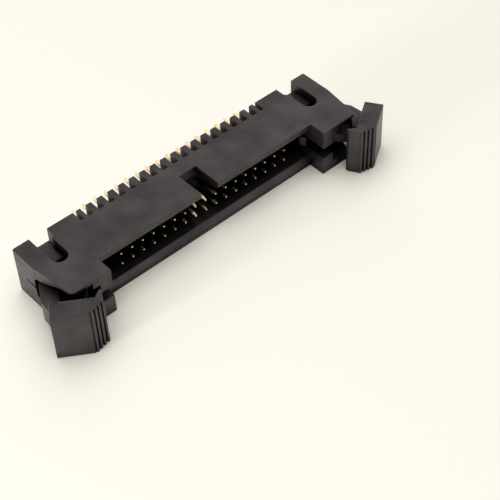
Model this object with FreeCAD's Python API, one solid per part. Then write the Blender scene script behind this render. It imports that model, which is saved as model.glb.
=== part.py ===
# Two-row box header with long ejector latches, lying on its plain side, latches swung open.
# X runs along the rows, -Y faces the mating plug, +Y is the side with the tails, +Z the keyed side.
# The origin is on the resting face, below the middle of the mating tips. Sizes are in millimetres.

import FreeCAD, Part
import os

# Contact grid
pitch = 2.54
columns = 17
row_spacing = 2.54
pin_side = 0.64
mating_taper = 0.9
tail_taper = 0.55
tip_side = 0.3
tail_length = 4.2

# Housing envelope
end_length = 9.9
body_height = 10.8
body_depth = 12.5
tip_recess = 1.43
corner_radius = 0.25

# Mating cavity
cavity_margin = 5.83
cavity_wall = 2.05
cavity_depth = 7.2
mouth_chamfer = 0.85
key_width = 4.2
key_depth = 6.5

# Comb on the side with the tails
comb_depth = 2.65
fin_width = 1.25
end_fin_width = 0.9
end_groove = 0.75

# Ears that hold the latches
ear_reach = 3.7
ear_front_inset = 1.4
ear_corner_radius = 0.9
ear_bend_depth = 6.3
plate_thickness = 2.0
column_width = 2.6
lip_from_end = 5.75
lip_thickness = 0.6
lip_depth = 3.0
lip_ramp = 4.85

# Channel and slots near each end
channel_from_end = 3.6
channel_width = 4.0
channel_depth = 0.8
web_gap = 0.35
slot_width = 3.4
slot_end_depth = 8.7
slot_flare_depth = 2.2
web_depth = 5.1
web_recess = 2.2
web_flank = 0.4
seam_width = 0.2
seam_depth = 0.12
seam_from_seat = 2.2

# Latch bay between the two plates of an ear
bay_from_seat = 4.5
outer_skin = 0.9
skin_slot_depth = 6.0
skin_slot_half = 2.75
skin_corner_run = 0.9
skin_corner_rise = 0.7
skin_notch_length = 2.9
skin_notch_mouth = 0.5
skin_notch_tip = 0.3
pivot_from_end = 2.45
pivot_from_seat = 6.8
pivot_radius = 0.9
pivot_reach = 0.9
pivot_clearance = 0.06
boss_end_clearance = 0.1

# Latch
open_angle = 33.0
knuckle_radius = 1.05
arm_thickness = 4.8
arm_width = 1.8
arm_bulge_front = 1.5
arm_bulge_rear = 1.8
arm_bulge_run = 2.8
arm_bulge_inset = 2.3
arm_corner = 0.7
shoulder_width = 4.6
shoulder_height = 1.45
shoulder_slope = 0.65
bay_clearance = 0.2
head_clearance = 0.15
head_side_clearance = 0.05
head_depth = 3.8
head_length = 9.4
head_slope_run = 2.7
head_slope_rise = 2.7
tooth_height = 1.65
tooth_bevel = 0.5
tooth_peak = 0.4
tooth_width = 1.2
ridge_count = 4
ridge_height = 0.3
head_edge_radius = 0.2
mark_radius = 0.9
mark_depth = 0.08
mark_inset = 1.15
mark_spacing = 5.6
foot_length = 8.7
foot_thickness = 2.2
foot_waist = 1.1
toe_length = 3.3
toe_rise = 0.25
foot_chamfer = 0.4
foot_clearance = 0.2

# Levels along Y and Z that follow from the sizes above
mouth_y = -tip_recess
seat_y = mouth_y + body_depth
cavity_floor_y = mouth_y + cavity_depth
comb_floor_y = seat_y - comb_depth
tail_tip_y = seat_y + tail_length
ear_front_y = mouth_y - ear_reach
bay_floor_y = seat_y - bay_from_seat
middle_z = body_height / 2
bay_half = middle_z - plate_thickness
web_rear_y = seat_y - channel_depth
web_front_y = web_rear_y - web_depth
web_half = middle_z - web_recess
cavity_half = (columns - 1) / 2 * pitch + cavity_margin
half_length = cavity_half + end_length
column_outer = cavity_half + column_width
channel_outer = half_length - channel_from_end
channel_inner = channel_outer - channel_width
slot_outer = channel_outer
slot_inner = slot_outer - slot_width
pivot = FreeCAD.Vector(half_length - pivot_from_end, seat_y - pivot_from_seat, middle_z)
foot_tip_x = pivot.x - foot_length
beyond = 1.0


def point(x, y, z=0.0):
    return FreeCAD.Vector(x, y, z)


def box(x0, x1, y0, y1, z0, z1):
    """Block between two opposite corners."""
    return Part.makeBox(x1 - x0, y1 - y0, z1 - z0, point(x0, y0, z0))


def prism(corners, z0, z1):
    """Upright prism on an outline in the XY plane."""
    loop = [point(x, y, z0) for x, y in corners]
    face = Part.Face(Part.makePolygon(loop + loop[:1]))
    return face.extrude(point(0, 0, z1 - z0))


def layer(corners, half_thickness):
    """Prism centred on the middle height of the housing."""
    return prism(corners, middle_z - half_thickness, middle_z + half_thickness)


def side_prism(corners, x0, x1):
    """Prism along X on an outline in the YZ plane."""
    loop = [point(x0, y, z) for y, z in corners]
    face = Part.Face(Part.makePolygon(loop + loop[:1]))
    return face.extrude(point(x1 - x0, 0, 0))


def mirrored(shape):
    """The same shape at the other end of the rows."""
    return shape.mirror(point(0, 0, 0), point(1, 0, 0))


def column_x(index):
    return (index - (columns - 1) / 2) * pitch


def row_z(side):
    """Height of a row: side is -1 for the lower row and 1 for the upper one."""
    return middle_z + side * row_spacing / 2


def body_blank():
    """Full-height outline of the housing with its ears, rounded along the outer edges."""
    bend_y = seat_y - ear_bend_depth
    front_x = half_length - ear_front_inset
    right = [
        (cavity_half, mouth_y),
        (cavity_half, ear_front_y),
        (front_x, ear_front_y),
        (half_length, bend_y),
        (half_length, seat_y),
    ]
    left = [(-x, y) for x, y in reversed(right)]
    blank = prism(right + left, 0, body_height)
    corners = [
        edge
        for edge in blank.Edges
        if abs(abs(edge.CenterOfMass.x) - front_x) < 1e-6 and abs(edge.CenterOfMass.y - ear_front_y) < 1e-6
    ]
    blank = blank.makeFillet(ear_corner_radius, corners)
    long_edges = box(-half_length, half_length, ear_front_y, seat_y, 0, body_height)
    rounded = [
        edge
        for edge in long_edges.Edges
        if abs(abs(edge.CenterOfMass.x) - half_length) < 1e-6 and abs(edge.CenterOfMass.z - middle_z) > 1
    ]
    rounded = [edge for edge in rounded if edge.Length > body_height + 1]
    return blank.common(long_edges.makeFillet(corner_radius, rounded))


def cavity():
    """Open space round the mating ends, with a bevelled mouth and the key slot."""
    low = cavity_wall
    high = body_height - cavity_wall
    room = box(-cavity_half, cavity_half, mouth_y - beyond, cavity_floor_y, low, high)
    bevel_wires = []
    for depth, grow in ((-beyond, mouth_chamfer + beyond), (mouth_chamfer, 0.0)):
        y = mouth_y + depth
        corners = [
            point(-cavity_half, y, low - grow),
            point(cavity_half, y, low - grow),
            point(cavity_half, y, high + grow),
            point(-cavity_half, y, high + grow),
        ]
        bevel_wires.append(Part.makePolygon(corners + corners[:1]))
    bevel = Part.makeLoft(bevel_wires, True, True)
    half_key = key_width / 2
    key = box(-half_key, half_key, mouth_y - beyond, mouth_y + key_depth, middle_z, body_height + beyond)
    return room.fuse([bevel, key])


def comb_slots():
    """Slots between the fins at the tails, and the narrow groove beside each pad."""
    half_slot = (pitch - fin_width) / 2
    top = seat_y + beyond
    cuts = []
    for index in range(columns):
        x = column_x(index)
        cuts.append(box(x - half_slot, x + half_slot, comb_floor_y, top, -beyond, body_height + beyond))
    groove_x = column_x(columns - 1) + half_slot + end_fin_width
    groove = box(groove_x, groove_x + end_groove, comb_floor_y, top, -beyond, body_height + beyond)
    return cuts + [groove, mirrored(groove)]


def contact_holes():
    """Square holes through the base, one for each contact."""
    half = pin_side / 2
    holes = []
    for side in (-1, 1):
        z = row_z(side)
        for index in range(columns):
            x = column_x(index)
            holes.append(box(x - half, x + half, cavity_floor_y, comb_floor_y, z - half, z + half))
    return holes


def slot_wall(rear_y):
    """Inner side of the end slot, from the rear to the web's front, with its flared mouth."""
    flare = slot_inner - channel_inner
    flare_y = seat_y - slot_flare_depth
    return [(channel_inner, rear_y), (channel_inner, flare_y), (slot_inner, flare_y - flare)]


def end_slot():
    """Slot in both plates of an ear, open at the rear, with a round end and a flared mouth."""
    radius = slot_width / 2
    centre_x = (slot_inner + slot_outer) / 2
    centre_y = seat_y - slot_end_depth + radius
    corners = [(slot_inner, centre_y), (slot_outer, centre_y), (slot_outer, seat_y + beyond)]
    whole = prism(corners + slot_wall(seat_y + beyond), -beyond, body_height + beyond)
    round_end = Part.makeCylinder(radius, body_height + 2 * beyond, point(centre_x, centre_y, -beyond))
    web = box(
        slot_inner - beyond, slot_outer + beyond, 0, seat_y + 2 * beyond, middle_z - web_half, middle_z + web_half
    )
    return whole.fuse(round_end).cut(web)


def channel():
    """Shallow channel across the rear, and the gap that follows the slot's inner side past the web."""
    cut = box(channel_inner, channel_outer, web_rear_y, seat_y + beyond, -beyond, body_height + beyond)
    wall = slot_wall(web_rear_y) + [(slot_inner, web_front_y)]
    gap = layer(wall + [(x + web_gap, y) for x, y in reversed(wall)], web_half)
    return [cut, gap]


def symmetric_side(upper):
    """Outline in the YZ plane from its upper half, given as depth along Y and half height."""
    lower = [(y, middle_z - half) for y, half in reversed(upper)]
    return [(y, middle_z + half) for y, half in upper] + lower


def skin_opening():
    """Opening in the outer wall of an ear for the latch's arm, with a narrow notch at its end."""
    x0 = half_length - outer_skin - beyond
    x1 = half_length + beyond
    rear_y = seat_y - skin_slot_depth
    upper = [
        (ear_front_y - beyond, skin_slot_half),
        (rear_y - skin_corner_run, skin_slot_half),
        (rear_y, skin_slot_half - skin_corner_rise),
    ]
    notch = [(rear_y, skin_notch_mouth / 2), (rear_y + skin_notch_length, skin_notch_tip / 2)]
    return [side_prism(symmetric_side(upper), x0, x1), side_prism(symmetric_side(notch), x0, x1)]


def front_relief():
    """Thinning of both plates to slim lips along the ear's front, with a ramp behind them."""
    lip_half = middle_z - lip_thickness
    lip_y = ear_front_y + lip_depth
    upper = [(ear_front_y - beyond, lip_half), (lip_y, lip_half), (lip_y + lip_ramp, skin_slot_half)]
    return side_prism(symmetric_side(upper), half_length - lip_from_end, half_length + beyond)


def latch_bay():
    """Room for the latch between the plates of an ear, stepped round the web, and its pivot holes."""
    low = middle_z - bay_half
    high = middle_z + bay_half
    front_y = ear_front_y - beyond
    toe_half = foot_thickness / 2 + foot_clearance
    toe_x = foot_tip_x - foot_clearance
    toe_room = box(toe_x, column_outer, front_y, bay_floor_y, middle_z - toe_half, middle_z + toe_half)
    knuckle_x = channel_outer + web_flank
    middle_room = box(column_outer, knuckle_x, front_y, web_front_y, low, high)
    knuckle_room = box(knuckle_x, half_length - outer_skin, front_y, bay_floor_y, low, high)
    hole_half = bay_half + pivot_reach + boss_end_clearance
    hole = Part.makeCylinder(
        pivot_radius + pivot_clearance, 2 * hole_half, point(pivot.x, pivot.y, middle_z - hole_half)
    )
    return [toe_room, middle_room, knuckle_room, hole]


def seam():
    """Fine line moulded across the resting face near the rear edge."""
    y = seat_y - seam_from_seat
    return box(-half_length - beyond, half_length + beyond, y - seam_width, y, -beyond, seam_depth)


def housing():
    """The one-piece moulding."""
    end_cuts = latch_bay() + skin_opening() + channel() + [end_slot(), front_relief()]
    cuts = [cavity(), seam()] + comb_slots() + contact_holes()
    cuts += end_cuts + [mirrored(cut) for cut in end_cuts]
    return body_blank().cut(cuts).removeSplitter()


def square_loop(side, x, y, z):
    half = side / 2
    corners = [
        point(x - half, y, z - half),
        point(x + half, y, z - half),
        point(x + half, y, z + half),
        point(x - half, y, z + half),
    ]
    return Part.makePolygon(corners + corners[:1])


def contact(x, z):
    """Square contact pin, tapered at both ends."""
    stations = [
        (tip_side, 0.0),
        (pin_side, mating_taper),
        (pin_side, tail_tip_y - tail_taper),
        (tip_side, tail_tip_y),
    ]
    return Part.makeLoft([square_loop(side, x, y, z) for side, y in stations], True, True)


def grip_line(start, end):
    """Points of the ridged grip from one corner of the head to the next."""
    along = end - start
    outward = point(along.y, -along.x).normalize() * ridge_height
    step = along * (1.0 / (2 * ridge_count))
    line = []
    for index in range(ridge_count):
        crest = start + step * (2 * index)
        line += [crest + outward, crest + step + outward, crest + step, crest + step * 2]
    return [(p.x, p.y) for p in line]


def head_outline():
    """Outline of the closed latch's head: a thick hook with a tooth, a slope and a ridged grip."""
    back_x = pivot.x
    rear_y = ear_front_y - head_clearance
    front_y = rear_y - head_depth
    tip_x = back_x - head_length
    tooth_y = rear_y + tooth_height
    slope_start = point(tip_x + head_slope_run, front_y)
    slope_end = point(tip_x, front_y + head_slope_rise)
    outline = [(back_x, rear_y), (back_x, front_y), (slope_start.x, slope_start.y)]
    outline += grip_line(slope_end, slope_start)[::-1]
    outline += [(slope_end.x, slope_end.y), (tip_x, tooth_y - tooth_bevel), (tip_x + tooth_peak, tooth_y)]
    return outline + [(tip_x + tooth_width, rear_y)]


def arm_outline():
    """Outline of the closed latch's bulging arm and of the shoulder that joins it to the head."""
    back_x = pivot.x
    inner_x = back_x - arm_width
    rear_y = ear_front_y - head_clearance
    shoulder_x = back_x - shoulder_width
    shoulder_y = rear_y + shoulder_height
    arm_foot_y = shoulder_y + shoulder_slope
    inside_head_y = rear_y - head_depth / 2
    return [
        (back_x, inside_head_y),
        (back_x, ear_front_y),
        (back_x + arm_bulge_front, ear_front_y + arm_bulge_run),
        (back_x + arm_bulge_rear, pivot.y - arm_bulge_inset),
        (back_x + knuckle_radius, pivot.y),
        (inner_x, pivot.y),
        (inner_x, arm_foot_y + arm_corner),
        (inner_x - arm_corner, arm_foot_y),
        (shoulder_x, shoulder_y),
        (shoulder_x, inside_head_y),
    ]


def foot_outline():
    """Outline of the closed latch's foot, whose toe lifts the plug as the latch opens."""
    rear_y = web_front_y - foot_clearance
    toe_rear_y = bay_floor_y - foot_clearance
    toe_front_y = rear_y - toe_rise
    toe_x = foot_tip_x + toe_length
    return [
        (pivot.x, pivot.y - knuckle_radius),
        (toe_x, rear_y - foot_waist),
        (foot_tip_x, toe_front_y),
        (foot_tip_x, toe_rear_y - foot_chamfer),
        (foot_tip_x + foot_chamfer, toe_rear_y),
        (toe_x, toe_rear_y),
        (toe_x, rear_y),
        (pivot.x, rear_y),
    ]


def head_marks(head_half):
    """Shallow round moulding marks on both broad faces of the head."""
    marks = []
    for side in (-1, 1):
        for index in range(2):
            x = pivot.x - mark_inset - index * mark_spacing
            y = ear_front_y - head_clearance - mark_inset
            centre = point(x, y, middle_z + side * (head_half - mark_depth))
            marks.append(Part.makeCylinder(mark_radius, mark_depth + beyond, centre, point(0, 0, side)))
    return marks


def closed_latch():
    """Latch at the +X end in its locked position."""
    head_half = middle_z - head_side_clearance
    head = layer(head_outline(), head_half)
    edges = [edge for edge in head.Edges if abs(edge.CenterOfMass.z - middle_z) > head_half - 1e-6]
    head = head.makeFillet(head_edge_radius, [edge for edge in edges if edge.Length > head_depth - 1])
    head = head.cut(head_marks(head_half))
    arm = layer(arm_outline(), arm_thickness / 2)
    foot = layer(foot_outline(), foot_thickness / 2)
    knuckle_half = bay_half - bay_clearance
    knuckle = Part.makeCylinder(knuckle_radius, 2 * knuckle_half, point(pivot.x, pivot.y, middle_z - knuckle_half))
    boss_half = bay_half + pivot_reach
    boss = Part.makeCylinder(pivot_radius, 2 * boss_half, point(pivot.x, pivot.y, middle_z - boss_half))
    return head.fuse([arm, foot, knuckle, boss]).removeSplitter()


def open_latch():
    """Latch at the +X end, swung outwards as it rests with no plug."""
    latch = closed_latch()
    latch.rotate(pivot, point(0, 0, 1), open_angle)
    return latch


def save(shape, name):
    shape.exportStep(os.path.join("parts", name + ".step"))


def main():
    os.makedirs("parts", exist_ok=True)
    save(housing(), "housing")
    latch = open_latch()
    save(latch, "latch_right")
    save(mirrored(latch), "latch_left")
    for row, side in (("a", -1), ("b", 1)):
        for index in range(columns):
            save(contact(column_x(index), row_z(side)), "pin_%s%02d" % (row, index + 1))


main()
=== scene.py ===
from math import cos, radians, sin

import bpy
from mathutils import Matrix, Vector


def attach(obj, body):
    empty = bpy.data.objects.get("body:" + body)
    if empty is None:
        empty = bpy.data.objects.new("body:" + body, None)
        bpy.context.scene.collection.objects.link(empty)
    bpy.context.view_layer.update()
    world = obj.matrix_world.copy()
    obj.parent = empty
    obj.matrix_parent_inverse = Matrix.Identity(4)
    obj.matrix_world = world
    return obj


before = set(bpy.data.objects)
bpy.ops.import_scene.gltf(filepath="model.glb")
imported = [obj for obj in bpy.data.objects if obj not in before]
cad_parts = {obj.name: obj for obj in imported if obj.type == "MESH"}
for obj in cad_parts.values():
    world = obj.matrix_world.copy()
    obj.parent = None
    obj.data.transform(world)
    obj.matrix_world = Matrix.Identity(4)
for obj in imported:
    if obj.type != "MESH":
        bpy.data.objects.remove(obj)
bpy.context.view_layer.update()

MM = 0.001

# Camera, fitted to the rows of contacts. Millimetres in the part's own frame.
IMAGE_WIDTH_PX = 500
FOCAL_PX = 1286.62
SENSOR_MM = 36.0
CAMERA_AT = (-106.252, -138.657, 178.136)
CAMERA_RIGHT = (0.745142, -0.666315, -0.028084)
CAMERA_UP = (0.500367, 0.53073, 0.684075)

# Colours, linear. The crevice tone and the shaded gold are painted shade, laid where little light gets in.
CHARCOAL_DARK = (0.0125, 0.0086, 0.0103, 1.0)
CHARCOAL_LIGHT = (0.0225, 0.0165, 0.0190, 1.0)
EDGE_TONE = (0.040, 0.034, 0.032, 1.0)
PAINTED_CREVICE_SHADE = (0.0045, 0.0034, 0.0038, 1.0)
GOLD_PALE = (0.98, 0.89, 0.65, 1.0)
GOLD_DEEP = (0.88, 0.71, 0.41, 1.0)
PAINTED_GOLD_SHADE = (0.035, 0.022, 0.009, 1.0)
FLOOR_TONE = (0.85, 0.855, 0.785, 1.0)
FLOOR_GLOW = (0.25, 0.245, 0.215, 1.0)
WORLD_TONE = (1.0, 0.95, 0.93, 1.0)

# Light. Soft patches of the world: azimuth and elevation in degrees, strength at the middle.
# A patch ends where the cosine of the angle from its middle is PATCH_EDGE.
SKY_PATCHES = ((0.0, 90.0, 2.3), (45.0, 14.0, 1.2), (50.0, 45.0, 0.75), (147.0, 45.0, 0.35))
PATCH_EDGE = 0.75
AMBIENT = 0.02
SEEN_WORLD = 1.0
KEY_AT = (-400.0, 0.0, 33.0)
KEY_SIZE_MM = 60.0
KEY_WATTS = 1.6

# In the three materials below, a noise is its scale in cells per metre and its detail, a bump is its strength
# and its height in millimetres, and a span is the part of a value that is stretched over the whole range.
WHOLE = (0.0, 1.0)

# Plastic
CLOUD_NOISE = (170.0, 4.0)
FLOW_NOISE = (1100.0, 3.0)
GRAIN_NOISE = (9000.0, 2.0)
TONE_SPAN = (0.3, 0.7)
ROUGHNESS_SPAN = (0.25, 0.75)
PLASTIC_ROUGHNESS = (0.34, 0.46)
SHEEN_SPAN = (0.35, 0.65)
PLASTIC_SHEEN = (0.42, 0.66)
# Painted shade in crevices: the colour darkens and the sheen drops where the surroundings close in.
CREVICE_REACH_MM = 6.0
CREVICE_SPAN = (0.30, 0.68)
SHEEN_LEFT_IN_SHADE = (0.06, 1.0)
EDGE_RADIUS_MM = 0.14
# Edges turn a little lighter: partly rubbed wear, partly painted highlight.
WEAR_AND_HIGHLIGHT_SPAN = (0.35, 0.7)
EDGE_WEAR_AND_HIGHLIGHT = (0.15, 0.8)
FLOW_BUMP = (0.10, 0.12)
GRAIN_BUMP = (0.22, 0.02)

# Gold. The drawn lines are noise stretched along the contact.
LINE_NOISE = (14000.0, 2.0)
LINE_STRETCH = (1.0, 0.05, 1.0)
LINE_BUMP = (0.15, 0.01)
PATCH_NOISE = (900.0, 3.0)
PATCH_TONE_SPAN = (0.35, 0.65)
PATCH_ROUGHNESS_SPAN = (0.3, 0.7)
GOLD_ROUGHNESS = (0.30, 0.42)
# Painted shade: the gold turns dark where the cavity closes round it.
CAVITY_REACH_MM = 10.0
CAVITY_SPAN = (0.40, 0.56)
WIRE_EDGE_RADIUS_MM = 0.05

# Floor
FLOOR_SIZE_MM = 4000.0
FLOOR_NOISE = (6.0, 2.0)
FLOOR_SPAN = (0.3, 0.7)
FLOOR_DARKER = 0.985
FLOOR_ROUGHNESS = 0.85
# Reach of the painted shadow on the floor's glow.
SHADE_REACH_MM = 10.0

# Latches: side, node, and how far the noise is shifted, in metres
LATCHES = ((-1, "latch_left", 0.31), (1, "latch_right", 0.57))
SHIFT_SPREAD = (1.0, 0.7, 1.3)

# Thin web between the foot, the arm and the head of the right latch, as it lies with the latch closed
WEB_CLOSED = ((26.93, 4.4), (26.93, 1.04), (28.45, -5.4), (31.9, -5.4), (32.6, 3.2))
WEB_HALF = 1.1
WEB_MIDDLE_Z = 5.4
WEB_EDGE_MM = 0.12
PIVOT = (33.6, 4.27)
OPEN_ANGLE = 33.0

# Sampling, and the cosines between which a bent normal counts as an edge
OPENNESS_SAMPLES = 12
EDGE_SAMPLES = 6
EDGE_COSINES = (0.995, 0.80)

# Sockets of the mix node that share a name
MIX_FACTOR = 0
MIX_NUMBERS = (2, 3)
MIX_NUMBER_OUT = 0
MIX_COLOURS = (6, 7)
MIX_COLOUR_OUT = 2


class Graph:
    """Small helper round a node tree."""

    def __init__(self, tree):
        self.tree = tree

    def node(self, kind, **settings):
        node = self.tree.nodes.new(kind)
        for key, value in settings.items():
            setattr(node, key, value)
        return node

    def link(self, source, target):
        self.tree.links.new(source, target)

    def object_coords(self):
        return self.node("ShaderNodeTexCoord").outputs["Object"]

    def math(self, operation, first, second):
        node = self.node("ShaderNodeMath", operation=operation)
        self.link(first, node.inputs[0])
        self.link(second, node.inputs[1])
        return node.outputs[0]

    def noise(self, coords, settings):
        scale, detail = settings
        node = self.node("ShaderNodeTexNoise")
        node.inputs["Scale"].default_value = scale
        node.inputs["Detail"].default_value = detail
        self.link(coords, node.inputs["Vector"])
        return node.outputs["Fac"]

    def remap(self, value, span, ends=WHOLE, **settings):
        """Value with the ends of a span moved to other ends, and held there beyond them."""
        node = self.node("ShaderNodeMapRange", **settings)
        for name, number in zip(("From Min", "From Max", "To Min", "To Max"), span + ends):
            node.inputs[name].default_value = number
        self.link(value, node.inputs["Value"])
        return node.outputs["Result"]

    def blend(self, factor, first, second):
        """Colour between two colours or sockets."""
        node = self.node("ShaderNodeMix", data_type="RGBA")
        self.link(factor, node.inputs[MIX_FACTOR])
        for index, colour in zip(MIX_COLOURS, (first, second)):
            if isinstance(colour, tuple):
                node.inputs[index].default_value = colour
            else:
                self.link(colour, node.inputs[index])
        return node.outputs[MIX_COLOUR_OUT]

    def openness(self, reach_mm, span=WHOLE):
        """How open the surroundings are within a reach, from deep crevice to free face."""
        node = self.node("ShaderNodeAmbientOcclusion", samples=OPENNESS_SAMPLES)
        node.inputs["Distance"].default_value = reach_mm * MM
        return self.remap(node.outputs["AO"], span)

    def edge_mask(self, radius_mm):
        """Rounded normal along sharp edges, and how far it turns from the flat one."""
        bevel = self.node("ShaderNodeBevel", samples=EDGE_SAMPLES)
        bevel.inputs["Radius"].default_value = radius_mm * MM
        flat = self.node("ShaderNodeNewGeometry").outputs["Normal"]
        dot = self.node("ShaderNodeVectorMath", operation="DOT_PRODUCT")
        self.link(bevel.outputs["Normal"], dot.inputs[0])
        self.link(flat, dot.inputs[1])
        return bevel.outputs["Normal"], self.remap(dot.outputs["Value"], EDGE_COSINES)

    def bump(self, height, normal, settings):
        strength, distance_mm = settings
        node = self.node("ShaderNodeBump")
        node.inputs["Strength"].default_value = strength
        node.inputs["Distance"].default_value = distance_mm * MM
        self.link(height, node.inputs["Height"])
        self.link(normal, node.inputs["Normal"])
        return node.outputs["Normal"]

    def seen_directly(self):
        """One for rays from the camera and for mirrored or refracted ones, zero for the others."""
        path = self.node("ShaderNodeLightPath")
        seen = path.outputs["Is Camera Ray"]
        for kind in ("Is Glossy Ray", "Is Transmission Ray"):
            seen = self.math("MAXIMUM", seen, path.outputs[kind])
        return seen


def new_material(name):
    """Material with the graph of its nodes and the inputs of its shader."""
    material = bpy.data.materials.new(name)
    material.use_nodes = True
    tree = material.node_tree
    return material, Graph(tree), tree.nodes["Principled BSDF"].inputs


def moulded_plastic(name, seed):
    """Matt charcoal moulding: cloudy tone, fine spark-eroded grain, painted shade with less sheen in
    crevices, and edges a little lighter, partly rubbed wear and partly a painted highlight.
    """
    material, g, inputs = new_material(name)
    shift = g.node("ShaderNodeMapping")
    shift.inputs["Location"].default_value = tuple(seed * share for share in SHIFT_SPREAD)
    g.link(g.object_coords(), shift.inputs["Vector"])
    place = shift.outputs["Vector"]
    clouds = g.noise(place, CLOUD_NOISE)
    flow = g.noise(place, FLOW_NOISE)
    grain = g.noise(place, GRAIN_NOISE)
    rounded, edges = g.edge_mask(EDGE_RADIUS_MM)
    # Painted shade: darker colour where the surroundings close in, by how open they are.
    unshaded = g.openness(CREVICE_REACH_MM, CREVICE_SPAN)

    tone = g.blend(g.remap(clouds, TONE_SPAN), CHARCOAL_DARK, CHARCOAL_LIGHT)
    # Lighter edges in patches of the flow noise, partly rubbed wear and partly painted highlight.
    wear_and_highlight = g.math("MULTIPLY", edges, g.remap(flow, WEAR_AND_HIGHLIGHT_SPAN, EDGE_WEAR_AND_HIGHLIGHT))
    tone = g.blend(wear_and_highlight, tone, EDGE_TONE)
    g.link(g.blend(unshaded, PAINTED_CREVICE_SHADE, tone), inputs["Base Color"])

    g.link(g.remap(flow, ROUGHNESS_SPAN, PLASTIC_ROUGHNESS), inputs["Roughness"])
    sheen = g.remap(clouds, SHEEN_SPAN, PLASTIC_SHEEN)
    # Painted shade: less sheen in crevices.
    sheen = g.math("MULTIPLY", sheen, g.remap(unshaded, WHOLE, SHEEN_LEFT_IN_SHADE))
    g.link(sheen, inputs["Specular IOR Level"])

    uneven = g.bump(flow, rounded, FLOW_BUMP)
    g.link(g.bump(grain, uneven, GRAIN_BUMP), inputs["Normal"])
    return material


def gold_plating():
    """Pale gold over drawn square wire: fine lengthwise draw lines, slightly deeper patches, and painted
    shade deep in the cavity.
    """
    material, g, inputs = new_material("contact_gold")
    coords = g.object_coords()
    stretch = g.node("ShaderNodeMapping")
    stretch.inputs["Scale"].default_value = LINE_STRETCH
    g.link(coords, stretch.inputs["Vector"])
    lines = g.noise(stretch.outputs["Vector"], LINE_NOISE)
    patches = g.noise(coords, PATCH_NOISE)
    gold = g.blend(g.remap(patches, PATCH_TONE_SPAN), GOLD_PALE, GOLD_DEEP)
    # Painted shade: the gold darkens deep in the cavity.
    unshaded = g.openness(CAVITY_REACH_MM, CAVITY_SPAN)
    g.link(g.blend(unshaded, PAINTED_GOLD_SHADE, gold), inputs["Base Color"])
    inputs["Metallic"].default_value = 1.0
    g.link(g.remap(patches, PATCH_ROUGHNESS_SPAN, GOLD_ROUGHNESS), inputs["Roughness"])
    rounded, _ = g.edge_mask(WIRE_EDGE_RADIUS_MM)
    g.link(g.bump(lines, rounded, LINE_BUMP), inputs["Normal"])
    return material


def floor_paper():
    """Pale card with the faintest unevenness, a little brighter to look at than its own light makes it; near
    the part that extra brightness fades as a painted shadow.
    """
    material, g, inputs = new_material("floor_card")
    uneven = g.remap(g.noise(g.object_coords(), FLOOR_NOISE), FLOOR_SPAN)
    darker = tuple(FLOOR_DARKER * channel for channel in FLOOR_TONE[:3]) + (1.0,)
    g.link(g.blend(uneven, FLOOR_TONE, darker), inputs["Base Color"])
    inputs["Roughness"].default_value = FLOOR_ROUGHNESS
    inputs["Specular IOR Level"].default_value = 0.0
    inputs["Emission Color"].default_value = FLOOR_GLOW
    # Painted shadow: the floor's glow fades where the part closes in around it.
    glow = g.math("MULTIPLY", g.seen_directly(), g.openness(SHADE_REACH_MM))
    g.link(glow, inputs["Emission Strength"])
    return material


def dress(node, material):
    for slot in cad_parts[node].material_slots:
        slot.material = material


def web_corners(side):
    """Web's outline swung open: side is 1 for the right latch and -1 for the left one."""
    turn = radians(OPEN_ANGLE)
    corners = []
    for x, y in WEB_CLOSED:
        dx, dy = x - PIVOT[0], y - PIVOT[1]
        open_x = PIVOT[0] + dx * cos(turn) - dy * sin(turn)
        open_y = PIVOT[1] + dx * sin(turn) + dy * cos(turn)
        corners.append((side * open_x, open_y))
    return corners[::side]


def latch_web(name, side, body, material):
    """Thin plate that stiffens a latch between its foot and its arm."""
    corners = web_corners(side)
    count = len(corners)
    points = []
    for z in (WEB_MIDDLE_Z - WEB_HALF, WEB_MIDDLE_Z + WEB_HALF):
        points += [(x * MM, y * MM, z * MM) for x, y in corners]
    faces = [tuple(reversed(range(count))), tuple(range(count, 2 * count))]
    for index in range(count):
        after = (index + 1) % count
        faces.append((index, after, after + count, index + count))
    mesh = bpy.data.meshes.new(name)
    mesh.from_pydata(points, [], faces)
    mesh.materials.append(material)
    web = bpy.data.objects.new(name, mesh)
    bpy.context.scene.collection.objects.link(web)
    bevel = web.modifiers.new("edges", "BEVEL")
    bevel.width = WEB_EDGE_MM * MM
    bevel.segments = 2
    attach(web, body)


def dress_part():
    dress("housing", moulded_plastic("housing_plastic", 0.0))
    for side, node, seed in LATCHES:
        plastic = moulded_plastic(node + "_plastic", seed)
        dress(node, plastic)
        latch_web(node + "_web", side, node, plastic)
    gold = gold_plating()
    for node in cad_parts:
        if node.startswith("pin_"):
            dress(node, gold)


def lay_floor():
    bpy.ops.mesh.primitive_plane_add(size=FLOOR_SIZE_MM * MM, location=(0.0, 0.0, 0.0))
    floor = bpy.context.object
    floor.name = "floor"
    floor.data.materials.append(floor_paper())


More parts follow.
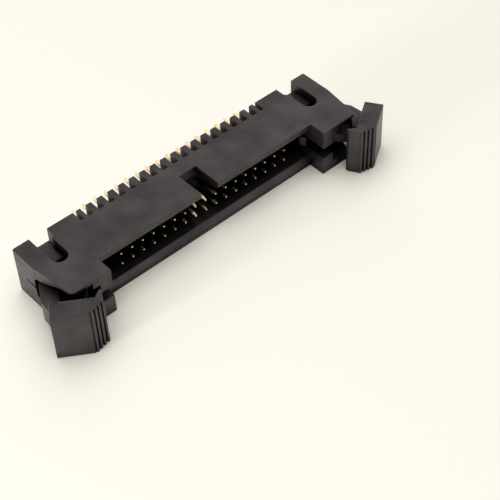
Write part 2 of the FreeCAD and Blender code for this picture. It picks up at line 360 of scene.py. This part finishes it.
def hang_key():
    """Low lamp that lights the left end of the part, left out of reflections."""
    light = bpy.data.lights.new("key", "AREA")
    light.shape = "DISK"
    light.size = KEY_SIZE_MM * MM
    light.energy = KEY_WATTS
    lamp = bpy.data.objects.new("key", light)
    bpy.context.scene.collection.objects.link(lamp)
    lamp.location = Vector(KEY_AT) * MM
    lamp.visible_glossy = False
    lamp.rotation_euler = (-lamp.location).to_track_quat("-Z", "Y").to_euler()


def toward(azimuth, elevation):
    """Unit vector for a direction given in degrees."""
    turn, rise = radians(azimuth), radians(elevation)
    return Vector((cos(rise) * cos(turn), cos(rise) * sin(turn), sin(rise)))


def light_world():
    """Dim world with soft bright patches for the light, and an even pale one for what looks at it."""
    world = bpy.data.worlds.new("studio")
    bpy.context.scene.world = world
    world.use_nodes = True
    g = Graph(world.node_tree)
    coords = g.node("ShaderNodeTexCoord").outputs["Generated"]
    ambient = g.node("ShaderNodeValue").outputs[0]
    ambient.default_value = AMBIENT
    total = ambient
    for azimuth, elevation, strength in SKY_PATCHES:
        facing = g.node("ShaderNodeVectorMath", operation="DOT_PRODUCT")
        facing.inputs[1].default_value = toward(azimuth, elevation)
        g.link(coords, facing.inputs[0])
        ends = (0.0, strength)
        patch = g.remap(facing.outputs["Value"], (PATCH_EDGE, 1.0), ends, interpolation_type="SMOOTHSTEP")
        total = g.math("ADD", patch, total)
    mixed = g.node("ShaderNodeMix")
    lit, seen = (mixed.inputs[index] for index in MIX_NUMBERS)
    g.link(g.seen_directly(), mixed.inputs[MIX_FACTOR])
    g.link(total, lit)
    seen.default_value = SEEN_WORLD
    background = world.node_tree.nodes["Background"]
    background.inputs["Color"].default_value = WORLD_TONE
    g.link(mixed.outputs[MIX_NUMBER_OUT], background.inputs["Strength"])


def place_camera():
    data = bpy.data.cameras.new("camera")
    data.sensor_width = SENSOR_MM
    data.lens = SENSOR_MM * FOCAL_PX / IMAGE_WIDTH_PX
    camera = bpy.data.objects.new("camera", data)
    bpy.context.scene.collection.objects.link(camera)
    right = Vector(CAMERA_RIGHT).normalized()
    back = right.cross(Vector(CAMERA_UP)).normalized()
    up = back.cross(right)
    turn = Matrix((right, up, back)).transposed().to_4x4()
    camera.matrix_world = Matrix.Translation(Vector(CAMERA_AT) * MM) @ turn
    bpy.context.scene.camera = camera


dress_part()
lay_floor()
hang_key()
light_world()
place_camera()
bpy.context.scene.view_settings.view_transform = "Standard"
